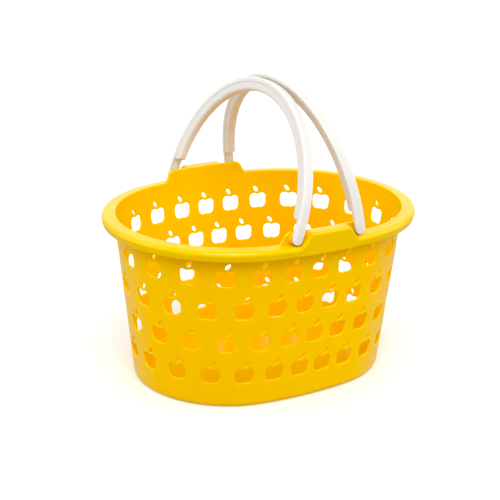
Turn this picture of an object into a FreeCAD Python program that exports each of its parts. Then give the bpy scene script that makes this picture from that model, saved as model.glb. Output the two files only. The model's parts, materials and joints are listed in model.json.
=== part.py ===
import FreeCAD, Part
import math
import os

from FreeCAD import Vector

# An oval moulded shopping basket with two swing handles. Millimetres, +Z up, +X along the basket's
# length. The origin is on the surface that the basket stands on, at the middle of the basket.

# Plan shape: every level of the tub is an oval of two end arcs and two flatter side arcs. The arcs'
# centres are the same at all levels, so a level is named by its half length alone.
END_CENTRE = 45.5
SIDE_CENTRE = 300.0
SIDE_REACH = math.hypot(END_CENTRE, SIDE_CENTRE)

# Tub wall and floor
BASE_HALF_LENGTH = 161.8
WALL_DRAFT = 0.1114
WALL = 2.6
FOOT_HEIGHT = 2.0
FOOT_WIDTH = 9.0
FLOOR_TOP = 5.0
BASE_RADIUS = 7.0

# Rim: a flange that slopes outward and turns down into a skirt
RIM_HALF_LENGTH = 200.8
RIM_TOP = 210.2
RIM_FALL = 1.8
RIM_RADIUS = 5.0
SHEET = 2.6
SKIRT_BOTTOM = 197.0
SKIRT_LEAN = 2.6
SKIRT_OUTSIDE = RIM_HALF_LENGTH - SKIRT_LEAN
SKIRT_INSIDE = SKIRT_OUTSIDE - 0.85 * SHEET
NECK = RIM_TOP - SHEET - 0.4

# Handle mounts: a raised inner wall with a deep block in its middle, on each long side
MOUNT_TOP = 224.5
MOUNT_HALF_LENGTH = 61.0
MOUNT_TOP_HALF_LENGTH = 52.0
MOUNT_CORNER = 9.0
MOUNT_WALL = 4.0
BLOCK_HALF_LENGTH = 38.5
BLOCK_SHOULDER = 209.5
BLOCK_TOP_HALF_LENGTH = 25.5
BLOCK_CORNER = 4.0

# Wall holes: apples with a separate leaf, in staggered rows
HOLES_PER_ROW = 24
ROW_HEIGHTS = (170.0, 127.6, 85.2, 42.8)
APPLE_WIDTH = 23.0
APPLE_HEIGHT = 20.0
LEAF_LENGTH = 9.5
LEAF_WIDTH = 5.0
LEAF_SIDE = 2.6
LEAF_RISE = 15.5
LEAF_TILT = 50.0
CUTTER_INWARD = 9.0
CUTTER_OUTWARD = 6.0

# Handles
PIVOT_X = 43.0
PIVOT_Z = 217.0
HANDLE_RADIUS = 154.0
HANDLE_LEG = END_CENTRE - PIVOT_X
BAND_WIDTH = 12.4
BAND_THICKNESS = 6.0
GRIP_WIDTH = 11.4
GRIP_DEPTH = 10.5
GRIP_START = 22.0
GRIP_CORNER = 5.0
LEFT_LEAN = 18.0
RIGHT_LEAN = 9.7

# Pivots: a stud on each end of a handle turns in a blind bore, in a boss on the mount's outer side
STUD_RADIUS = 4.0
STUD_END = 141.2
RUNNING_CLEARANCE = 0.06
BOSS_RADIUS = 7.0
BOSS_FACE = 147.4
BORE_END = 140.9


def rounded_wire(corners, place):
    """A closed wire through (u, v, radius) corners; place turns (u, v) into a point."""
    starts = []
    edges = []
    count = len(corners)
    for i in range(count):
        u, v, radius = corners[i]
        before = corners[i - 1]
        after = corners[(i + 1) % count]
        corner = Vector(u, v, 0)
        to_before = (Vector(before[0], before[1], 0) - corner).normalize()
        to_after = (Vector(after[0], after[1], 0) - corner).normalize()
        half = to_before.getAngle(to_after) / 2
        if radius == 0 or half > math.radians(89.5):
            starts.append((corner, corner))
            continue
        reach = radius / math.tan(half)
        first = corner + to_before * reach
        last = corner + to_after * reach
        bisector = (to_before + to_after).normalize()
        middle = corner + bisector * (radius / math.sin(half) - radius)
        starts.append((first, last))
        edges.append(Part.Arc(place(first), place(middle), place(last)).toShape())
    for i in range(count):
        leave = starts[i][1]
        arrive = starts[(i + 1) % count][0]
        if leave.distanceToPoint(arrive) > 1e-6:
            edges.append(Part.makeLine(place(leave), place(arrive)))
    return Part.Wire(Part.__sortEdges__(edges))


def wall_outside(z):
    """Half length of the wall's outer face at height z."""
    return BASE_HALF_LENGTH + WALL_DRAFT * z


def wall_inside(z):
    """Half length of the wall's inner face at height z."""
    return wall_outside(z) - WALL * math.hypot(1, WALL_DRAFT)


def around_oval(corners):
    """Carries a closed section, given in (half length, z) corners, all the way round the oval."""
    turn = math.degrees(math.atan2(SIDE_CENTRE, END_CENTRE))
    pieces = []
    for side in (1, -1):
        centre = Vector(side * END_CENTRE, 0, 0)
        start = -turn if side > 0 else 180 - turn
        pieces.append(revolved(corners, centre, -END_CENTRE, start, 2 * turn))
    for side in (1, -1):
        pieces.append(side_segment(corners, side, 90 - turn))
    ring = pieces[0].fuse(pieces[1:])
    return ring.removeSplitter()


def side_segment(corners, side, half_angle):
    """Carries a section along one long side (side 1 is +Y), half_angle degrees each way."""
    centre = Vector(0, -side * SIDE_CENTRE, 0)
    return revolved(corners, centre, SIDE_REACH - END_CENTRE, side * 90 - half_angle, 2 * half_angle)


def revolved(corners, centre, offset, start, sweep):
    """Revolves a (half length, z) section about the upright axis at centre."""
    direction = Vector(math.cos(math.radians(start)), math.sin(math.radians(start)), 0)

    def place(point):
        return centre + direction * (point.x + offset) + Vector(0, 0, point.y)

    face = Part.Face(rounded_wire(corners, place))
    return face.revolve(centre, Vector(0, 0, 1), sweep)


def upright_prism(corners, depth):
    """A closed (x, z) outline carried from -depth to +depth along Y."""
    def place(point):
        return Vector(point.x, -depth, point.y)

    return Part.Face(rounded_wire(corners, place)).extrude(Vector(0, 2 * depth, 0))


def tub_section():
    """Floor edge, wall, flange and skirt as one section."""
    foot_outside = wall_outside(0)
    foot_inside = foot_outside - BASE_RADIUS - FOOT_WIDTH
    floor_edge = foot_inside - 4
    flange_outer_top = RIM_TOP - RIM_FALL
    return [
        (floor_edge, FOOT_HEIGHT, 0),
        (foot_inside - 1, FOOT_HEIGHT, 1),
        (foot_inside, 0, 1),
        (foot_outside, 0, BASE_RADIUS),
        (wall_outside(NECK), NECK, 2),
        (RIM_HALF_LENGTH - SHEET, flange_outer_top - SHEET, 2),
        (SKIRT_INSIDE, SKIRT_BOTTOM, 0.9),
        (SKIRT_OUTSIDE, SKIRT_BOTTOM, 0.9),
        (RIM_HALF_LENGTH, flange_outer_top, RIM_RADIUS),
        (wall_inside(RIM_TOP), RIM_TOP, 2),
        (wall_inside(FLOOR_TOP), FLOOR_TOP, BASE_RADIUS - WALL),
        (floor_edge, FLOOR_TOP, 0),
    ]


def oval_disc(half_length, bottom, top):
    """A flat oval plate."""
    end = half_length - END_CENTRE
    turn = math.atan2(SIDE_CENTRE, END_CENTRE)
    x_joint = END_CENTRE + end * math.cos(turn)
    y_joint = end * math.sin(turn)
    y_side = end + SIDE_REACH - SIDE_CENTRE
    right_near = Vector(x_joint, -y_joint, bottom)
    right_far = Vector(x_joint, y_joint, bottom)
    left_near = Vector(-x_joint, -y_joint, bottom)
    left_far = Vector(-x_joint, y_joint, bottom)
    arcs = [
        Part.Arc(right_near, Vector(half_length, 0, bottom), right_far),
        Part.Arc(right_far, Vector(0, y_side, bottom), left_far),
        Part.Arc(left_far, Vector(-half_length, 0, bottom), left_near),
        Part.Arc(left_near, Vector(0, -y_side, bottom), right_near),
    ]
    outline = Part.Wire([arc.toShape() for arc in arcs])
    return Part.Face(outline).extrude(Vector(0, 0, top - bottom))


def mount_outline(inset):
    """The mount seen from the side: a low plate with rounded shoulders."""
    foot = RIM_TOP - SHEET
    top = MOUNT_TOP - inset
    return [
        (-MOUNT_HALF_LENGTH, foot, 0),
        (MOUNT_HALF_LENGTH, foot, 0),
        (MOUNT_TOP_HALF_LENGTH, top, MOUNT_CORNER),
        (-MOUNT_TOP_HALF_LENGTH, top, MOUNT_CORNER),
    ]


def block_outline(inset):
    """The block in the mount's middle, seen from the side: upright below the rim, sloped above it.

    An inset outline is the hollow inside the block. It reaches below the skirt, and its slopes lie
    the inset away from the block's own.
    """
    low = SKIRT_BOTTOM - (1 if inset else 0)
    slope = math.atan2(MOUNT_TOP - BLOCK_SHOULDER, BLOCK_HALF_LENGTH - BLOCK_TOP_HALF_LENGTH)
    half = BLOCK_HALF_LENGTH - inset
    shoulder = BLOCK_SHOULDER - inset * math.tan(math.pi / 4 - slope / 2)
    top_half = BLOCK_TOP_HALF_LENGTH - inset * math.tan(slope / 2)
    top = MOUNT_TOP - inset
    corner = BLOCK_CORNER - inset
    return [
        (-half, low, 0),
        (half, low, 0),
        (half, shoulder, 0),
        (top_half, top, corner),
        (-top_half, top, corner),
        (-half, shoulder, 0),
    ]


def mount(side):
    """One handle mount on the long side that faces side * Y.

    Returns its raised wall with the pivot bosses, its block, and the hollow to cut out of the block.
    """
    half_angle = math.degrees(MOUNT_HALF_LENGTH * 1.1 / (SIDE_REACH + RIM_HALF_LENGTH / 2))
    wall_foot = RIM_TOP - SHEET
    wall_section = [
        (wall_inside(wall_foot), wall_foot, 0),
        (wall_inside(wall_foot) + MOUNT_WALL, wall_foot, 0),
        (wall_inside(MOUNT_TOP) + MOUNT_WALL, MOUNT_TOP, 1.5),
        (wall_inside(MOUNT_TOP), MOUNT_TOP, 1.5),
    ]
    wall = side_segment(wall_section, side, half_angle)
    wall = wall.common(upright_prism(mount_outline(0), RIM_HALF_LENGTH))

    block_section = [
        (wall_inside(SKIRT_BOTTOM), SKIRT_BOTTOM, 0),
        (SKIRT_OUTSIDE, SKIRT_BOTTOM, 0.9),
        (RIM_HALF_LENGTH, MOUNT_TOP, 3.5),
        (wall_inside(MOUNT_TOP), MOUNT_TOP, 1.5),
    ]
    hollow_section = [
        (wall_outside(SKIRT_BOTTOM - 1), SKIRT_BOTTOM - 1, 0),
        (SKIRT_INSIDE, SKIRT_BOTTOM - 1, 0),
        (RIM_HALF_LENGTH - SHEET, MOUNT_TOP - SHEET, 1),
        (wall_outside(MOUNT_TOP - SHEET), MOUNT_TOP - SHEET, 1),
    ]
    block = side_segment(block_section, side, half_angle)
    block = block.common(upright_prism(block_outline(0), RIM_HALF_LENGTH))
    hollow = side_segment(hollow_section, side, half_angle)
    hollow = hollow.common(upright_prism(block_outline(SHEET), RIM_HALF_LENGTH))
    bosses = [pivot_rod(x, side, BOSS_RADIUS, BORE_END, BOSS_FACE) for x in (-PIVOT_X, PIVOT_X)]
    return wall.fuse(bosses), block, hollow


def pivot_rod(x, side, radius, near, far):
    """A round rod on a pivot axis, between two distances from the basket's middle plane."""
    start = Vector(x, side * near, PIVOT_Z)
    return Part.makeCylinder(radius, far - near, start, Vector(0, side, 0))


def apple_outline():
    """Closed curve of an apple, in its own plane: a round body with a cleft at the top."""
    count = 28
    points = []
    for i in range(count):
        angle = 2 * math.pi * i / count
        from_top = abs((angle - math.pi / 2 + math.pi) % (2 * math.pi) - math.pi)
        cleft = 0.17 * math.exp(-(from_top / 0.30) ** 2)
        dimple = 0.07 * math.exp(-((math.pi - from_top) / 0.28) ** 2)
        shoulder = 0.07 * math.cos(4 * angle)
        reach = 1 - cleft - dimple - shoulder
        taper = 1 + 0.05 * math.sin(angle)
        u = APPLE_WIDTH / 1.86 * reach * taper * math.cos(angle)
        v = APPLE_HEIGHT / 1.82 * reach * math.sin(angle)
        points.append((u, v))
    return points


def leaf_outline():
    """Closed curve of a pointed leaf, tilted, above and beside the apple."""
    tilt = math.radians(LEAF_TILT)
    count = 12
    points = []
    for i in range(count):
        angle = 2 * math.pi * i / count
        along = LEAF_LENGTH / 2 * math.cos(angle)
        across = LEAF_WIDTH / 2 * math.sin(angle) * abs(math.sin(angle)) ** 0.35
        u = LEAF_SIDE + along * math.cos(tilt) - across * math.sin(tilt)
        v = LEAF_RISE + along * math.sin(tilt) + across * math.cos(tilt)
        points.append((u, v))
    return points


def oval_point(half_length, angle):
    """The oval's point on the ray at angle from its middle, and the outward normal there."""
    end = half_length - END_CENTRE
    turn = math.atan2(SIDE_CENTRE, END_CENTRE)
    ray = Vector(math.cos(angle), math.sin(angle), 0)
    joint = Vector(END_CENTRE + end * math.cos(turn), end * math.sin(turn), 0)
    on_end = abs(ray.y) * joint.x < abs(ray.x) * joint.y
    if on_end:
        centre = Vector(math.copysign(END_CENTRE, ray.x), 0, 0)
        radius = end
    else:
        centre = Vector(0, -math.copysign(SIDE_CENTRE, ray.y), 0)
        radius = end + SIDE_REACH
    along = ray.dot(centre)
    distance = along + math.sqrt(along ** 2 - centre.dot(centre) + radius ** 2)
    point = ray * distance
    return point, (point - centre).normalize()


def wall_cutters():
    """One through cutter for each apple and each leaf."""
    cutters = []
    for row, height in enumerate(ROW_HEIGHTS):
        for i in range(HOLES_PER_ROW):
            turn = (i + 0.5 * (row % 2)) / HOLES_PER_ROW
            point, normal = oval_point(wall_outside(height), math.pi / 2 + 2 * math.pi * turn)
            sideways = Vector(0, 0, 1).cross(normal)
            start = point - normal * CUTTER_INWARD + Vector(0, 0, height)
            for outline in (apple_outline(), leaf_outline()):
                places = [start + sideways * u + Vector(0, 0, v) for u, v in outline]
                curve = Part.BSplineCurve()
                curve.interpolate(Points=places, PeriodicFlag=True)
                face = Part.Face(Part.Wire(curve.toShape()))
                cutters.append(face.extrude(normal * (CUTTER_INWARD + CUTTER_OUTWARD)))
    return cutters


def make_tub():
    section = tub_section()
    tub = around_oval(section)
    floor = oval_disc(section[0][0], FOOT_HEIGHT, FLOOR_TOP)
    walls = []
    blocks = []
    hollows = []
    for side in (1, -1):
        wall, block, hollow = mount(side)
        walls.append(wall)
        blocks.append(block)
        hollows.append(hollow)
    tub = tub.fuse([floor] + walls + blocks)
    bores = []
    for side in (1, -1):
        for x in (-PIVOT_X, PIVOT_X):
            radius = STUD_RADIUS + RUNNING_CLEARANCE
            bores.append(pivot_rod(x, side, radius, BORE_END, BOSS_FACE + 1))
    tub = tub.cut(hollows + bores)
    return tub.removeSplitter().cut(wall_cutters())


def arch_plate(outer, inner, foot, width):
    """A flat arch in the YZ plane, from outer to inner radius, with legs down to foot."""
    half = width / 2

    def place(y, z):
        return Vector(-half, y, z)

    crown = HANDLE_LEG
    edges = [
        Part.Arc(place(outer, crown), place(0, crown + outer), place(-outer, crown)).toShape(),
        Part.makeLine(place(-outer, crown), place(-outer, foot)),
        Part.makeLine(place(-outer, foot), place(-inner, foot)),
        Part.makeLine(place(-inner, foot), place(-inner, crown)),
        Part.Arc(place(-inner, crown), place(0, crown + inner), place(inner, crown)).toShape(),
        Part.makeLine(place(inner, crown), place(inner, foot)),
        Part.makeLine(place(inner, foot), place(outer, foot)),
        Part.makeLine(place(outer, foot), place(outer, crown)),
    ]
    return Part.Face(Part.Wire(edges)).extrude(Vector(width, 0, 0))


def make_handle(lean, pivot_x):
    """A bail: a flat outer band with a grip rib inside it, and a stud at each end."""
    band_inside = HANDLE_RADIUS - BAND_THICKNESS
    grip_inside = band_inside - GRIP_DEPTH
    band = arch_plate(HANDLE_RADIUS, band_inside, 0, BAND_WIDTH)
    grip = arch_plate(band_inside + 0.5, grip_inside, 0, GRIP_WIDTH)
    low = Part.makeBox(2 * GRIP_WIDTH, 2 * HANDLE_RADIUS, GRIP_START,
                       Vector(-GRIP_WIDTH, -HANDLE_RADIUS, 0))
    grip = grip.cut(low)
    grip_ends = [edge for edge in grip.Edges
                 if abs(edge.BoundBox.ZMax - GRIP_START) < 0.01
                 and edge.BoundBox.YLength < 0.01
                 and abs(edge.CenterOfMass.y) < band_inside]
    grip = grip.makeFillet(GRIP_CORNER, grip_ends)
    details = [grip]
    for side in (1, -1):
        tongue_start = Vector(0, side * band_inside, 0)
        outward = Vector(0, side, 0)
        details.append(Part.makeCylinder(BAND_WIDTH / 2, BAND_THICKNESS, tongue_start, outward))
        stud_start = Vector(0, side * STUD_END, 0)
        details.append(Part.makeCylinder(STUD_RADIUS, band_inside + 1 - STUD_END, stud_start, outward))
    handle = band.fuse(details).removeSplitter()
    handle.rotate(Vector(0, 0, 0), Vector(0, 1, 0), lean)
    handle.translate(Vector(pivot_x, 0, PIVOT_Z))
    return handle


os.makedirs("parts", exist_ok=True)
nodes = {
    "basket_tub": make_tub(),
    "left_handle": make_handle(LEFT_LEAN, -PIVOT_X),
    "right_handle": make_handle(-RIGHT_LEAN, PIVOT_X),
}
for name, shape in nodes.items():
    solids = shape.Solids
    print(name, shape.isValid(), len(solids), len(shape.Faces), round(shape.Volume))
    solids[0].exportStep("parts/" + name + ".step")
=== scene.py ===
import json
import math

import bmesh
import bpy
import numpy as np
from mathutils import Matrix, Quaternion, Vector
from mathutils.geometry import delaunay_2d_cdt


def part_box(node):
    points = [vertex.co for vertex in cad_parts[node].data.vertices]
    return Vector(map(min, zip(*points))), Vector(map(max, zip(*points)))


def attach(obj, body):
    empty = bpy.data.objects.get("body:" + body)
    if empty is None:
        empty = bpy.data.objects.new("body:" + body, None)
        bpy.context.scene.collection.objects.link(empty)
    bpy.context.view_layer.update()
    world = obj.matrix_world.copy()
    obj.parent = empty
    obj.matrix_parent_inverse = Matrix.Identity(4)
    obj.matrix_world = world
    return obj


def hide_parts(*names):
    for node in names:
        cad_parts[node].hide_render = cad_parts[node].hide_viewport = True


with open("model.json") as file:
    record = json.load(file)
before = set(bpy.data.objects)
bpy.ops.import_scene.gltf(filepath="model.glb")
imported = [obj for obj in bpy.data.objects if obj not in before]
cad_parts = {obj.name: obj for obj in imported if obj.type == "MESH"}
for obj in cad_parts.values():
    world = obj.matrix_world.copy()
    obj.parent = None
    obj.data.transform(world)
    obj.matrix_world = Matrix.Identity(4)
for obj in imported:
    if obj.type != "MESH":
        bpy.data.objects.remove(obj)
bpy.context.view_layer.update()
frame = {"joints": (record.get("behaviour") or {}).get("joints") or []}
tub_low, tub_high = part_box("basket_tub")
joints = {joint["child"]: joint for joint in frame["joints"]}

# The looks of an oval shopping basket with two swing handles. Shapes are worked out in millimetres of
# the CAD part, whose tub is TUB_LENGTH long, and go into the frame through UNIT.
TUB_LENGTH = 399.32
UNIT = (tub_high.x - tub_low.x) / TUB_LENGTH
TAU = 2 * math.pi

# Plan shape: each level of the tub is an oval of two end arcs and two flatter side arcs
END_CENTRE = 45.5
SIDE_CENTRE = 300.0
SIDE_REACH = math.hypot(END_CENTRE, SIDE_CENTRE)
JOIN_TURN = math.atan2(SIDE_CENTRE, END_CENTRE)

# Tub wall and floor
BASE_HALF_LENGTH = 161.8
WALL_DRAFT = 0.1114
WALL = 2.6
WALL_SLANT = math.hypot(1, WALL_DRAFT)
FOOT_HEIGHT = 2.0
FOOT_WIDTH = 9.0
FLOOR_TOP = 5.0
BASE_RADIUS = 7.0
BASE_RING = 17.0
FOOT_EDGE = 1.0
FLOOR_EDGE_INSET = 4.0
FLOOR_GRID = 14.0
FLOOR_GRID_REACH = 12
FLOOR_GRID_MARGIN = 6.0

# Rim, skirt and handle mounts
RIM_HALF_LENGTH = 200.8
RIM_TOP = 210.2
RIM_FALL = 1.8
RIM_RADIUS = 5.0
SHEET = 2.6
NECK = RIM_TOP - SHEET - 0.4
SKIRT_BOTTOM = 197.0
SKIRT_LEAN = 2.6
SKIRT_EDGE = 0.9
SKIRT_SHEET = 0.85 * SHEET
SKIRT_OUTSIDE = RIM_HALF_LENGTH - SKIRT_LEAN
SKIRT_INSIDE = SKIRT_OUTSIDE - SKIRT_SHEET
UNDER_RADIUS = 2.0
LIP_RADIUS = 2.0
MOUNT_TOP = tub_high.z / UNIT
MOUNT_SLOPE_FOOT = 59.8
MOUNT_FOOT_RADIUS = 2.0
MOUNT_TOP_HALF_LENGTH = 52.0
MOUNT_CORNER = 9.0
MOUNT_WALL = 4.0
MOUNT_EDGE = 1.5
BLOCK_SLOPE_FOOT = 38.5
BLOCK_FOOT_RADIUS = 1.5
BLOCK_TOP_HALF_LENGTH = 25.5
BLOCK_CORNER = 4.0
BLOCK_EDGE = 3.5
HOLLOW_SHIFT = 3.4
SLOPE_RUN_ON = 12.0

# Wall holes
HOLES_PER_ROW = 24
ROW_HEIGHTS = (170.0, 127.6, 85.2, 42.8)
CELL_BELOW = 16.0
CELL_ABOVE = ROW_HEIGHTS[0] - ROW_HEIGHTS[1] - CELL_BELOW
APPLE_WIDTH = 23.0
APPLE_HEIGHT = 20.0
LEAF_LENGTH = 9.5
LEAF_WIDTH = 5.0
LEAF_SIDE = 2.6
LEAF_RISE = 15.5
LEAF_TILT = math.radians(50)
APPLE_WIDTH_DIVISOR = 1.86
APPLE_HEIGHT_DIVISOR = 1.82
APPLE_POINTS = 40
LEAF_POINTS = 20
HOLE_EDGE = 0.6
HOLE_MARGIN = 2.0
STEPS_PER_HALF_CELL = 5
CELL_LAYERS = 8

# Handles and their pivots
HANDLE_RADIUS = 154.0
BAND_WIDTH = 12.4
BAND_THICKNESS = 6.0
BAND_EDGE = 1.5
BAND_INNER_EDGE = 0.8
GRIP_WIDTH = 11.4
GRIP_DEPTH = 10.5
GRIP_START = 22.0
GRIP_CORNER = 5.0
GRIP_FOOT_RADIUS = 0.8
GRIP_EDGE = 3.6
GRIP_STATIONS = 56
GROOVE = 0.7
GROOVE_HEIGHT = 0.6
TONGUE_STEPS = 20
STUD_RADIUS = 4.0
STUD_END = 141.2
BORE_RADIUS = 4.06
BORE_END = 140.9
BOSS_RADIUS = 7.0
BOSS_FACE = 147.4
BOSS_PAST_BORE = 0.3
ROUNDED_EDGE = 0.6
BORE_EDGE = 0.3
OVERLAP = 1.0
ROD_SIDES = 48

# Camera: distances in metres, angles in degrees, the lens in millimetres, the shift as parts of the frame
CAMERA_AZIMUTH = -31.695
CAMERA_ELEVATION = 21.111
CAMERA_ROLL = 1.3
CAMERA_DISTANCE = 1.691
CAMERA_AIM_HEIGHT = 0.096
CAMERA_LENS = 96.2
CAMERA_SHIFT = (-0.0168, 0.082)


# ---------------------------------------------------------------- outlines and the oval

def corner(point, arrive, leave, radius, steps):
    """Rounds the corner at point between two directions of travel, as steps + 1 points."""
    point = np.asarray(point, float)
    arrive = np.asarray(arrive, float) / np.hypot(*arrive)
    leave = np.asarray(leave, float) / np.hypot(*leave)
    cross = arrive[0] * leave[1] - arrive[1] * leave[0]
    turn = math.atan2(cross, float(arrive @ leave))
    if radius <= 0 or abs(turn) < 1e-6:
        return [point] * (steps + 1)
    side = math.copysign(1, turn)
    start = point - arrive * radius * math.tan(abs(turn) / 2)
    centre = start + side * radius * np.array([-arrive[1], arrive[0]])
    spoke = start - centre
    points = []
    for step in range(steps + 1):
        angle = turn * step / steps
        c, s = math.cos(angle), math.sin(angle)
        points.append(centre + np.array([spoke[0] * c - spoke[1] * s, spoke[0] * s + spoke[1] * c]))
    return points


def wall_outside(z):
    """Half length of the wall's outer face at height z."""
    return BASE_HALF_LENGTH + WALL_DRAFT * z


def wall_inside(z):
    """Half length of the wall's inner face at height z."""
    return wall_outside(z) - WALL * WALL_SLANT


def oval(turn, half_length):
    """Plan coordinates of the oval of this half length where its outward normal points at turn."""
    cosine, sine = np.cos(turn), np.sin(turn)
    on_end = np.abs(sine) <= math.sin(JOIN_TURN)
    centre_x = np.where(on_end, np.copysign(END_CENTRE, cosine), 0)
    centre_y = np.where(on_end, 0, -np.copysign(SIDE_CENTRE, sine))
    radius = half_length - END_CENTRE + np.where(on_end, 0, SIDE_REACH)
    return centre_x + radius * cosine, centre_y + radius * sine


# Lengths round the oval are measured at half the wall's height. Each arc turns evenly with length.
REFERENCE = wall_outside(RIM_TOP / 2)
ARC_TURNS = np.array([0, JOIN_TURN, math.pi - JOIN_TURN, math.pi + JOIN_TURN, TAU - JOIN_TURN, TAU])
ARC_RADII = REFERENCE - END_CENTRE + np.array([0, SIDE_REACH, 0, SIDE_REACH, 0])
ARC_LENGTHS = np.concatenate([[0], np.cumsum(np.diff(ARC_TURNS) * ARC_RADII)])
PERIMETER = ARC_LENGTHS[-1]


def turn_at(length):
    return np.interp(np.mod(length, PERIMETER), ARC_LENGTHS, ARC_TURNS)


def length_at(turn):
    return np.interp(np.mod(turn, TAU), ARC_TURNS, ARC_LENGTHS)


def length_towards(bearing, half_length):
    """Length round the oval of the point that lies at this bearing from the middle."""
    turns = np.linspace(0, TAU, 7201)
    x, y = oval(turns, half_length)
    bearings = np.unwrap(np.arctan2(y, x))
    return length_at(np.interp(np.mod(bearing, TAU), bearings, turns))


def on_oval(length, half_length, z):
    """Points at these lengths, half lengths and heights."""
    length, half_length, z = np.broadcast_arrays(length, half_length, z)
    x, y = oval(turn_at(length), half_length)
    return np.stack([x, y, z], axis=-1)


def on_wall(length, z, depth):
    """Points of the tub's wall, depth below its outer face."""
    return on_oval(length, wall_outside(z) - depth * WALL_SLANT, z)


# ---------------------------------------------------------------- a mesh made from patches

class Shell:
    """Collects patches in millimetres and welds them into one closed mesh."""

    def __init__(self):
        self.points = []
        self.faces = []

    def add(self, points):
        """Adds points and returns their indices."""
        start = len(self.points)
        self.points.extend(np.asarray(points, float).reshape(-1, 3))
        return list(range(start, len(self.points)))

    def bridge(self, first, second, closed=True):
        """Quads between two rows of indices that have the same count."""
        count = len(first)
        for i in range(count if closed else count - 1):
            j = (i + 1) % count
            self.faces.append((first[i], first[j], second[j], second[i]))

    def make(self, name):
        """Returns the object, in the frame's metres."""
        mesh = bpy.data.meshes.new(name)
        mesh.from_pydata([tuple(point * UNIT) for point in self.points], [], self.faces)
        weld = bmesh.new()
        weld.from_mesh(mesh)
        bmesh.ops.remove_doubles(weld, verts=weld.verts, dist=0.004 * UNIT)
        loose = [vertex for vertex in weld.verts if not vertex.link_faces]
        bmesh.ops.delete(weld, geom=loose, context="VERTS")
        bmesh.ops.recalc_face_normals(weld, faces=weld.faces)
        weld.to_mesh(mesh)
        weld.free()
        made = bpy.data.objects.new(name, mesh)
        bpy.context.scene.collection.objects.link(made)
        return made


def triangulate(points, loops):
    """Triangles of the region inside the first loop and outside the others, all in one plane."""
    result = delaunay_2d_cdt([Vector(point) for point in points], [], loops, 1, 1e-7)
    faces, vertex_sources, face_sources = result[2], result[3], result[5]
    triangles = []
    for face, sources in zip(faces, face_sources):
        if list(sources) == [0]:
            triangles.append([vertex_sources[index][0] for index in face])
    return triangles


# ---------------------------------------------------------------- the tub's wall

def apple_outline():
    """Closed curve of an apple, in its own plane: a round body with a cleft at the top.

    The two divisors are the CAD part's. The apple comes out 23.4 wide and 19.9 high.
    """
    angle = np.arange(APPLE_POINTS) / APPLE_POINTS * TAU
    from_top = np.abs(np.mod(angle - math.pi / 2 + math.pi, TAU) - math.pi)
    cleft = 0.17 * np.exp(-(from_top / 0.30) ** 2)
    dimple = 0.07 * np.exp(-((math.pi - from_top) / 0.28) ** 2)
    reach = 1 - cleft - dimple - 0.07 * np.cos(4 * angle)
    taper = 1 + 0.05 * np.sin(angle)
    across = APPLE_WIDTH / APPLE_WIDTH_DIVISOR * reach * taper * np.cos(angle)
    up = APPLE_HEIGHT / APPLE_HEIGHT_DIVISOR * reach * np.sin(angle)
    return np.stack([across, up], axis=-1)


def leaf_outline():
    """Closed curve of a pointed leaf, tilted, above and beside the apple."""
    angle = np.arange(LEAF_POINTS) / LEAF_POINTS * TAU
    along = LEAF_LENGTH / 2 * np.cos(angle)
    across = LEAF_WIDTH / 2 * np.sin(angle) * np.abs(np.sin(angle)) ** 0.35
    side = LEAF_SIDE + along * math.cos(LEAF_TILT) - across * math.sin(LEAF_TILT)
    up = LEAF_RISE + along * math.sin(LEAF_TILT) + across * math.cos(LEAF_TILT)
    return np.stack([side, up], axis=-1)


def grown(outline, distance):
    """The outline moved outward by distance."""
    along = np.roll(outline, -1, axis=0) - np.roll(outline, 1, axis=0)
    normal = np.stack([along[:, 1], -along[:, 0]], axis=-1)
    return outline + distance * normal / np.linalg.norm(normal, axis=1, keepdims=True)


def hole_profile():
    """(growth, depth) of the rings of a hole: a rounded edge on the outer face and one on the inner."""
    edge = [(HOLE_EDGE * (1 - math.sin(a)), HOLE_EDGE * (1 - math.cos(a)))
            for a in (0, math.pi / 4, math.pi / 2)]
    return edge + [(growth, WALL - depth) for growth, depth in reversed(edge)]


def add_cell(shell, left, right, low_line, high_line, centre, height):
    """One apple and one leaf with the wall round them, between two lengths and two rows' lines."""
    low, high = height - CELL_BELOW, height + CELL_ABOVE
    stretch = (wall_outside(height) - END_CENTRE) / (REFERENCE - END_CENTRE)
    if abs(math.sin(turn_at(centre))) > math.sin(JOIN_TURN):
        stretch = (wall_outside(height) + SIDE_REACH) / (REFERENCE + SIDE_REACH)
    layers = np.linspace(low, high, CELL_LAYERS + 1)[1:-1]
    border = [(length, low) for length in low_line]
    border += [(right, z) for z in layers]
    border += [(length, high) for length in reversed(high_line)]
    border += [(left, z) for z in reversed(layers)]
    flat = list(border)
    loops = [list(range(len(border)))]
    holes = []
    for outline in (apple_outline(), leaf_outline()):
        rings = []
        for growth, depth in hole_profile():
            ring = grown(outline, growth)
            rings.append((centre + ring[:, 0] / stretch, height + ring[:, 1], depth))
        start = len(flat)
        flat += list(zip(rings[0][0], rings[0][1]))
        loops.append(list(range(start, len(flat))))
        holes.append(rings)
    edges = np.array(flat[len(border):])
    for length in low_line[1:-1]:
        for z in layers:
            if np.hypot(edges[:, 0] - length, edges[:, 1] - z).min() > HOLE_MARGIN:
                flat.append((length, z))
    flat = np.array(flat)
    triangles = triangulate(flat, loops)
    outer = shell.add(on_wall(flat[:, 0], flat[:, 1], 0))
    inner = shell.add(on_wall(flat[:, 0], flat[:, 1], WALL))
    for a, b, c in triangles:
        shell.faces.append((outer[a], outer[b], outer[c]))
        shell.faces.append((inner[c], inner[b], inner[a]))
    for loop, rings in zip(loops[1:], holes):
        rows = [[outer[index] for index in loop]]
        for length, z, depth in rings[1:-1]:
            rows.append(shell.add(on_wall(length, z, depth)))
        rows.append([inner[index] for index in loop])
        for first, second in zip(rows, rows[1:]):
            shell.bridge(first, second)


def within(lengths, left, right):
    """The lengths from left to right, on an endless round of the oval."""
    rounds = np.concatenate([lengths - PERIMETER, lengths, lengths + PERIMETER])
    return [float(length) for length in rounds if left - 1e-6 < length < right + 1e-6]


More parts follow.
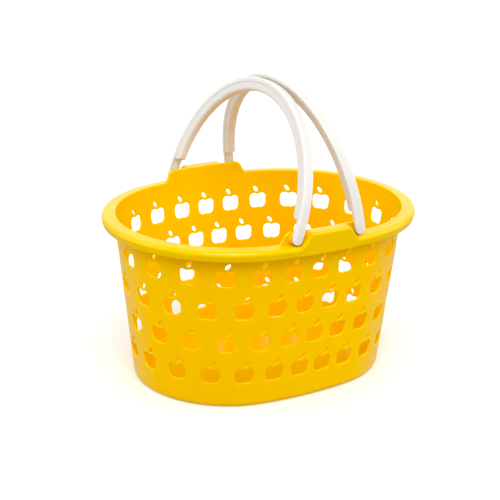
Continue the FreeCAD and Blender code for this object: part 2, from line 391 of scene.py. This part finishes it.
def add_wall(shell, regular, rim_lengths):
    """Four staggered rows of holes. The top line has the rim's own points."""
    cell_turn = TAU / HOLES_PER_ROW
    for row, height in enumerate(ROW_HEIGHTS):
        for i in range(HOLES_PER_ROW):
            bearing = math.pi / 2 + cell_turn * (i + 0.5 * (row % 2))
            centre = float(length_towards(bearing, wall_outside(height)))
            left = float(length_towards(bearing - cell_turn / 2, REFERENCE))
            right = float(length_towards(bearing + cell_turn / 2, REFERENCE))
            if left > centre:
                left -= PERIMETER
            if right < centre:
                right += PERIMETER
            low_line = within(regular, left, right)
            high_line = within(rim_lengths, left, right) if row == 0 else low_line
            add_cell(shell, left, right, low_line, high_line, centre, height)


# ---------------------------------------------------------------- the tub's base

def add_base(shell, regular):
    """The rounded bottom of the wall, the foot ring and the floor's two faces."""
    line = ROW_HEIGHTS[-1] - CELL_BELOW
    foot_inside = BASE_HALF_LENGTH - BASE_RADIUS - FOOT_WIDTH
    floor_edge = foot_inside - FLOOR_EDGE_INSET
    down = (-WALL_DRAFT, -1)
    step = (-FOOT_EDGE, FOOT_HEIGHT)
    under = [(wall_outside(line), line), (wall_outside(BASE_RING), BASE_RING)]
    under += corner((BASE_HALF_LENGTH, 0), down, (-1, 0), BASE_RADIUS, 8)
    under += corner((foot_inside, 0), (-1, 0), step, FOOT_EDGE, 3)
    under += corner((foot_inside - FOOT_EDGE, FOOT_HEIGHT), step, (-1, 0), FOOT_EDGE, 3)
    under += [(floor_edge, FOOT_HEIGHT)]
    over = [(wall_inside(line), line), (wall_inside(BASE_RING), BASE_RING)]
    over += corner((wall_inside(FLOOR_TOP), FLOOR_TOP), down, (-1, 0), BASE_RADIUS - WALL, 6)
    over += [(floor_edge, FLOOR_TOP)]
    for profile in (under, over):
        rows = [shell.add(on_oval(regular, half_length, z)) for half_length, z in profile]
        for first, second in zip(rows, rows[1:]):
            shell.bridge(first, second)
        add_floor_face(shell, regular, *profile[-1])


def add_floor_face(shell, regular, half_length, z):
    """A flat oval face with a grid of points inside it."""
    rim = on_oval(regular, half_length, z)[:, :2]
    grid = FLOOR_GRID * np.arange(-FLOOR_GRID_REACH, FLOOR_GRID_REACH + 1)
    inside = [(x, y) for x in grid for y in grid
              if np.hypot(rim[:, 0] - x, rim[:, 1] - y).min() > FLOOR_GRID_MARGIN]
    flat = [tuple(point) for point in rim] + inside
    points = shell.add([(x, y, z) for x, y in flat])
    for triangle in triangulate(flat, [list(range(len(rim)))]):
        shell.faces.append(tuple(points[index] for index in triangle))


# ---------------------------------------------------------------- rim and handle mounts

def slope_profile(foot, foot_radius, top, top_radius, low, high):
    """(x, height) points of one end of a raised mount, from outside inward."""
    slope = (top - foot, high - low)
    points = [(foot + SLOPE_RUN_ON, low)]
    points += corner((foot, low), (-1, 0), slope, foot_radius, 6)
    points += corner((top, high), slope, (-1, 0), top_radius, 10)
    return points


FLANGE_LEVEL = RIM_TOP - RIM_FALL / 2
BLOCK_PROFILE = slope_profile(BLOCK_SLOPE_FOOT, BLOCK_FOOT_RADIUS, BLOCK_TOP_HALF_LENGTH, BLOCK_CORNER,
                              FLANGE_LEVEL, MOUNT_TOP)
MOUNT_PROFILE = slope_profile(MOUNT_SLOPE_FOOT, MOUNT_FOOT_RADIUS, MOUNT_TOP_HALF_LENGTH, MOUNT_CORNER,
                              RIM_TOP, MOUNT_TOP)
HOLLOW_PROFILE = [(x - HOLLOW_SHIFT, z) for x, z in BLOCK_PROFILE]
MIDDLE_OF_RIM = (wall_inside(RIM_TOP) + RIM_HALF_LENGTH) / 2


def height_on(profile, x):
    """Height of a mount profile at distance x from the basket's middle."""
    points = sorted((float(point[0]), float(point[1])) for point in profile)
    return float(np.interp(x, [point[0] for point in points], [point[1] for point in points]))


def share(value, low, high):
    return (value - low) / (high - low)


def mix(first, second, amount):
    return first + (second - first) * amount


def towards(start, end):
    return (end[0] - start[0], end[1] - start[1])


def rim_stations(regular):
    """Lengths round the rim: the regular ones, and closer ones on the slopes of the mounts."""
    radius = MIDDLE_OF_RIM - END_CENTRE + SIDE_REACH
    extra = []
    for point in BLOCK_PROFILE + MOUNT_PROFILE + HOLLOW_PROFILE:
        for x in (float(point[0]), -float(point[0])):
            turn = math.acos(x / radius)
            extra += [float(length_at(turn)), float(length_at(TAU - turn))]
    kept = sorted(regular)
    for length in sorted(extra):
        if min(abs(length - other) for other in kept) > 0.2:
            kept.append(length)
    return np.array(sorted(kept))


def rim_section(x):
    """(half length, z) points of the rim at distance x from the basket's middle plane.

    They run from the wall's outer face, round the skirt and over the top, to the wall's inner face.
    """
    block = share(height_on(BLOCK_PROFILE, x), FLANGE_LEVEL, MOUNT_TOP)
    hollow = share(height_on(BLOCK_PROFILE, x + HOLLOW_SHIFT), FLANGE_LEVEL, MOUNT_TOP)
    level = mix(RIM_TOP, MOUNT_TOP, block)
    rise = max(height_on(MOUNT_PROFILE, x) - level, 0)
    raised = rise / (MOUNT_TOP - RIM_TOP)

    foot_fall = RIM_FALL * MOUNT_WALL / (RIM_HALF_LENGTH - wall_inside(RIM_TOP))
    under_top = MOUNT_TOP - SHEET
    neck_z = mix(NECK, under_top, hollow)
    neck = (wall_outside(neck_z), neck_z)
    skirt_top = (RIM_HALF_LENGTH - SHEET, mix(RIM_TOP - RIM_FALL - SHEET, under_top, hollow))
    outer_top = (RIM_HALF_LENGTH, mix(RIM_TOP - RIM_FALL, MOUNT_TOP, block))
    foot_z = mix(RIM_TOP - foot_fall, MOUNT_TOP, block)
    foot = (wall_inside(foot_z) + MOUNT_WALL, foot_z)
    crest_z = foot_z + rise + raised * foot_fall * (1 - block)
    crest = (wall_inside(crest_z) + MOUNT_WALL, crest_z)
    lip_z = level + rise
    lip = (wall_inside(lip_z), lip_z)
    line = ROW_HEIGHTS[0] + CELL_ABOVE

    up = (WALL_DRAFT, 1)
    # Where the raised wall is low, its two small corners share the rise
    small = min(MOUNT_EDGE, rise / 2.2)
    bottom_inside = (SKIRT_INSIDE, SKIRT_BOTTOM)
    bottom_outside = (SKIRT_OUTSIDE, SKIRT_BOTTOM)
    points = [(wall_outside(line), line)]
    points += corner(neck, up, towards(neck, skirt_top), UNDER_RADIUS, 4)
    points += corner(skirt_top, towards(neck, skirt_top), towards(skirt_top, bottom_inside), UNDER_RADIUS, 4)
    points += corner(bottom_inside, towards(skirt_top, bottom_inside), (1, 0), SKIRT_EDGE, 3)
    points += corner(bottom_outside, (1, 0), towards(bottom_outside, outer_top), SKIRT_EDGE, 3)
    points += corner(outer_top, towards(bottom_outside, outer_top), towards(outer_top, foot),
                     mix(RIM_RADIUS, BLOCK_EDGE, block), 10)
    points += corner(foot, towards(outer_top, foot), up, small, 4)
    points += corner(crest, up, towards(crest, lip), small, 4)
    points += corner(lip, towards(crest, lip), (-WALL_DRAFT, -1), LIP_RADIUS, 6)
    points += [(wall_inside(line), line)]
    return points


def add_rim(shell, lengths):
    """Sweeps the rim's section round the oval. The section rises at the two mounts."""
    rows = []
    for length in lengths:
        x, _ = oval(turn_at(length), MIDDLE_OF_RIM)
        section = np.array(rim_section(abs(float(x))))
        rows.append(shell.add(on_oval(length, section[:, 0], section[:, 1])))
    for first, second in zip(rows, rows[1:] + rows[:1]):
        shell.bridge(first, second, closed=False)


def rounded_rod(name, start, end, radius, edge):
    """A rod along Y at the origin, with a rounded edge at its end and a flat face at its start."""
    shell = Shell()
    sign = math.copysign(1, end - start)
    profile = [(0, start), (radius, start)]
    for step in range(5):
        angle = step / 4 * math.pi / 2
        inward = edge * (1 - math.cos(angle))
        short = edge * (1 - math.sin(angle))
        profile.append((radius - inward, end - sign * short))
    profile.append((0, end))
    angles = np.arange(ROD_SIDES) / ROD_SIDES * TAU
    rows = []
    for reach, y in profile:
        ring = [reach * np.cos(angles), np.full(ROD_SIDES, y), reach * np.sin(angles)]
        rows.append(shell.add(np.stack(ring, axis=-1)))
    for first, second in zip(rows, rows[1:]):
        shell.bridge(first, second)
    return shell.make(name)


def combine(target, tool, operation):
    """Applies a boolean to target and removes the tool."""
    cut = target.modifiers.new("combine", "BOOLEAN")
    cut.operation = operation
    cut.solver = "EXACT"
    cut.object = tool
    bpy.context.view_layer.update()
    graph = bpy.context.evaluated_depsgraph_get()
    mesh = bpy.data.meshes.new_from_object(target.evaluated_get(graph))
    target.modifiers.clear()
    target.data = mesh
    bpy.data.objects.remove(tool)


def make_tub():
    """The tub: a pierced wall between a swept base and a swept rim, with bosses for the handles."""
    count = 2 * HOLES_PER_ROW * STEPS_PER_HALF_CELL
    regular = np.array(sorted(float(length_towards(TAU * i / count, REFERENCE)) for i in range(count)))
    rim_lengths = rim_stations(regular)
    shell = Shell()
    add_wall(shell, regular, rim_lengths)
    add_base(shell, regular)
    add_rim(shell, rim_lengths)
    tub = shell.make("tub")
    pivots = [Vector(joints[body]["pos_m"]) for body in ("left_handle", "right_handle")]
    for pivot in pivots:
        for side in (1, -1):
            boss_start = side * (BORE_END + BOSS_PAST_BORE)
            boss = rounded_rod("boss", boss_start, side * BOSS_FACE, BOSS_RADIUS, ROUNDED_EDGE)
            boss.location = pivot
            combine(tub, boss, "UNION")
            bore_start = side * (BOSS_FACE + OVERLAP)
            bore = rounded_rod("bore", bore_start, side * BORE_END, BORE_RADIUS, BORE_EDGE)
            bore.location = pivot
            combine(tub, bore, "DIFFERENCE")
    return tub


# ---------------------------------------------------------------- handles

def handle_half_section():
    """(across, band depth, grip depth share) from the outer face's middle to the inner face's middle."""
    half_band, half_grip = BAND_WIDTH / 2, GRIP_WIDTH / 2
    points = [(0, 0, 0), (half_band - BAND_EDGE - 1.5, 0, 0)]
    points += [(a, d, 0) for a, d in corner((half_band, 0), (1, 0), (0, 1), BAND_EDGE, 5)]
    inner_edge = corner((half_band, BAND_THICKNESS), (0, 1), (-1, 0), BAND_INNER_EDGE, 3)
    points += [(a, d, 0) for a, d in inner_edge]
    points += [(half_grip - GROOVE, BAND_THICKNESS, 0.0)]
    for across, depth in corner((half_grip, GROOVE_HEIGHT), (GROOVE, 0.5), (0, 1), 0.4, 2):
        points.append((across, BAND_THICKNESS, depth / GRIP_DEPTH))
    for across, depth in corner((half_grip, GRIP_DEPTH), (0, 1), (-1, 0), GRIP_EDGE, 7):
        points.append((across, BAND_THICKNESS, depth / GRIP_DEPTH))
    points += [(half_grip - GRIP_EDGE - 1, BAND_THICKNESS, 1), (0, BAND_THICKNESS, 1)]
    return points


def handle_stations(leg):
    """(length from the pivot along the outer face, grip depth) over half a handle."""
    start = leg + HANDLE_RADIUS * math.asin((GRIP_START - leg) / (HANDLE_RADIUS - BAND_THICKNESS))
    middle = leg + HANDLE_RADIUS * math.pi / 2
    stations = [(0, 0), (leg, 0)]
    stations += [(mix(leg, start - 1, part), 0) for part in (0.25, 0.5, 0.75)]
    stations += [tuple(point) for point in corner((start, 0), (1, 0), (0, 1), GRIP_FOOT_RADIUS, 4)]
    stations += [tuple(point) for point in corner((start, GRIP_DEPTH), (0, 1), (1, 0), GRIP_CORNER, 8)]
    reached = start + GRIP_CORNER
    for i in range(GRIP_STATIONS):
        stations.append((mix(reached, middle, (i + 1) / GRIP_STATIONS), GRIP_DEPTH))
    return stations


def make_handle(body):
    """A bail: an outer band with a grip rib inside it, round tongues at its ends and a stud on each."""
    joint = joints[body]
    pivot = Vector(joint["pos_m"])
    axis = Vector(joint["axis"])
    leg = END_CENTRE - abs(pivot.x) / UNIT
    half = handle_half_section()
    full = half + [(-across, band, grip_share) for across, band, grip_share in reversed(half[1:-1])]
    shell = Shell()

    def place(across, length, depth):
        reach = HANDLE_RADIUS - depth
        if length <= leg:
            return (across, reach, length)
        angle = (length - leg) / HANDLE_RADIUS
        return (across, reach * math.cos(angle), leg + reach * math.sin(angle))

    for side in (1, -1):
        rows = []
        for length, grip in handle_stations(leg):
            points = [place(across, length, band + grip_share * grip) for across, band, grip_share in full]
            rows.append(shell.add([(x, side * y, z) for x, y, z in points]))
        for first, second in zip(rows, rows[1:]):
            shell.bridge(first, second)
        caps = []
        for step in range(TONGUE_STEPS + 1):
            angle = math.pi * step / TONGUE_STEPS
            points = [(across * math.cos(angle), side * (HANDLE_RADIUS - band), -across * math.sin(angle))
                      for across, band, _ in half]
            caps.append(shell.add(points))
        for first, second in zip(caps, caps[1:]):
            shell.bridge(first, second, closed=False)
    handle = shell.make(body + "_piece")
    stud_start = HANDLE_RADIUS - BAND_THICKNESS + OVERLAP
    for side in (1, -1):
        stud = rounded_rod("stud", side * stud_start, side * STUD_END, STUD_RADIUS, ROUNDED_EDGE)
        combine(handle, stud, "UNION")
    # Rest leaves the handle leaning inward; at the top of its range it lies flat on the rim.
    lean = math.radians(joint["range_deg"][1] - 90)
    turn = Quaternion(axis, -lean).to_matrix().to_4x4()
    handle.data.transform(Matrix.Translation(pivot) @ turn)
    return handle


# ---------------------------------------------------------------- materials

def plastic(name, colour, mottle, roughness, subsurface, radius, depth):
    """Satin injection-moulded plastic: faint flow mottle, uneven gloss and a very fine moulded grain."""
    material = bpy.data.materials.new(name)
    material.use_nodes = True
    nodes, links = material.node_tree.nodes, material.node_tree.links
    shader = nodes["Principled BSDF"]
    shader.inputs["IOR"].default_value = 1.49
    shader.inputs["Subsurface Weight"].default_value = subsurface
    shader.inputs["Subsurface Radius"].default_value = radius
    shader.inputs["Subsurface Scale"].default_value = depth
    place = nodes.new("ShaderNodeTexCoord")

    flow = nodes.new("ShaderNodeTexNoise")
    flow.inputs["Scale"].default_value = 9
    flow.inputs["Detail"].default_value = 3
    flow.inputs["Distortion"].default_value = 0.6
    links.new(place.outputs["Object"], flow.inputs["Vector"])
    tint = nodes.new("ShaderNodeValToRGB")
    tint.color_ramp.elements[0].position = 0.3
    tint.color_ramp.elements[0].color = (*[channel * (1 - mottle) for channel in colour], 1)
    tint.color_ramp.elements[1].position = 0.7
    tint.color_ramp.elements[1].color = (*colour, 1)
    links.new(flow.outputs["Fac"], tint.inputs["Fac"])
    links.new(tint.outputs["Color"], shader.inputs["Base Color"])

    gloss = nodes.new("ShaderNodeTexNoise")
    gloss.inputs["Scale"].default_value = 60
    gloss.inputs["Detail"].default_value = 4
    links.new(place.outputs["Object"], gloss.inputs["Vector"])
    spread = nodes.new("ShaderNodeMapRange")
    spread.inputs["To Min"].default_value = roughness - 0.04
    spread.inputs["To Max"].default_value = roughness + 0.04
    links.new(gloss.outputs["Fac"], spread.inputs["Value"])
    links.new(spread.outputs["Result"], shader.inputs["Roughness"])

    grain = nodes.new("ShaderNodeTexNoise")
    grain.inputs["Scale"].default_value = 1400
    grain.inputs["Detail"].default_value = 2
    links.new(place.outputs["Object"], grain.inputs["Vector"])
    bump = nodes.new("ShaderNodeBump")
    bump.inputs["Strength"].default_value = 0.08
    bump.inputs["Distance"].default_value = 0.0001
    links.new(grain.outputs["Fac"], bump.inputs["Height"])
    links.new(bump.outputs["Normal"], shader.inputs["Normal"])
    return material


def finish_piece(piece, body, node, material):
    """Smooth shading with flat faces kept flat, the material, and the piece's place in the frame."""
    piece.data.materials.clear()
    piece.data.materials.append(material)
    piece.data.shade_smooth()
    weighted = piece.modifiers.new("weighted normals", "WEIGHTED_NORMAL")
    weighted.weight = 50
    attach(piece, body)
    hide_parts(node)


yellow = plastic("yellow plastic", (0.95, 0.56, 0.002), 0.03, 0.30, 0.60, (1.0, 0.7, 0.1), 0.008)
white = plastic("white plastic", (0.73, 0.72, 0.695), 0.02, 0.36, 0.80, (1.0, 0.9, 0.8), 0.010)
finish_piece(make_tub(), "basket", "basket_tub", yellow)
for name in ("left_handle", "right_handle"):
    finish_piece(make_handle(name), name, name, white)


# ---------------------------------------------------------------- floor, light and camera

def make_floor():
    """A wide pale floor under the basket."""
    size = 9.0
    mesh = bpy.data.meshes.new("floor")
    corners = [(-size, -size, 0), (size, -size, 0), (size, size, 0), (-size, size, 0)]
    mesh.from_pydata(corners, [], [(0, 1, 2, 3)])
    floor = bpy.data.objects.new("floor", mesh)
    bpy.context.scene.collection.objects.link(floor)
    material = bpy.data.materials.new("studio floor")
    material.use_nodes = True
    shader = material.node_tree.nodes["Principled BSDF"]
    shader.inputs["Base Color"].default_value = (0.93, 0.93, 0.93, 1)
    shader.inputs["Roughness"].default_value = 0.9
    mesh.materials.append(material)
    # The photograph shows next to no light coming up from the floor
    floor.visible_diffuse = False
    floor.visible_glossy = False


def add_soft_light(name, azimuth, elevation, spread, strength):
    """A far, wide light, like a large softbox: as bright at every point of the floor."""
    light = bpy.data.lights.new(name, "SUN")
    light.angle = math.radians(spread)
    light.energy = strength
    lamp = bpy.data.objects.new(name, light)
    back = bearing_vector(azimuth, elevation)
    lamp.rotation_euler = (-back).to_track_quat("-Z", "Y").to_euler()
    bpy.context.scene.collection.objects.link(lamp)


def bearing_vector(azimuth, elevation):
    """Unit vector from the basket towards a viewer; azimuth 0 looks along +Y."""
    a, e = math.radians(azimuth), math.radians(elevation)
    return Vector((math.sin(a) * math.cos(e), -math.cos(a) * math.cos(e), math.sin(e)))


def make_world(strength):
    world = bpy.data.worlds.new("studio")
    world.use_nodes = True
    background = world.node_tree.nodes["Background"]
    background.inputs["Color"].default_value = (1, 1, 1, 1)
    background.inputs["Strength"].default_value = strength
    bpy.context.scene.world = world


def make_camera():
    """The photograph's viewpoint: a long lens, a little above the rim and off one corner."""
    data = bpy.data.cameras.new("camera")
    data.sensor_width = 36
    data.lens = CAMERA_LENS
    data.shift_x, data.shift_y = CAMERA_SHIFT
    camera = bpy.data.objects.new("camera", data)
    back = bearing_vector(CAMERA_AZIMUTH, CAMERA_ELEVATION)
    camera.location = Vector((0, 0, CAMERA_AIM_HEIGHT)) + back * CAMERA_DISTANCE
    aim = (-back).to_track_quat("-Z", "Y")
    camera.rotation_mode = "QUATERNION"
    camera.rotation_quaternion = aim @ Quaternion((0, 0, 1), math.radians(CAMERA_ROLL))
    bpy.context.scene.collection.objects.link(camera)
    bpy.context.scene.camera = camera


make_floor()
make_world(0.63)
add_soft_light("key", -28, 50, 40, 1.66)
add_soft_light("left fill", -120, 30, 60, 0.85)
add_soft_light("right fill", 60, 30, 60, 0.9)
add_soft_light("backdrop", 150, 12, 60, 0.5)
make_camera()
view = bpy.context.scene.view_settings
view.view_transform = "Standard"
view.use_curve_mapping = True
view.curve_mapping.black_level = (0.045, 0.045, 0.045)
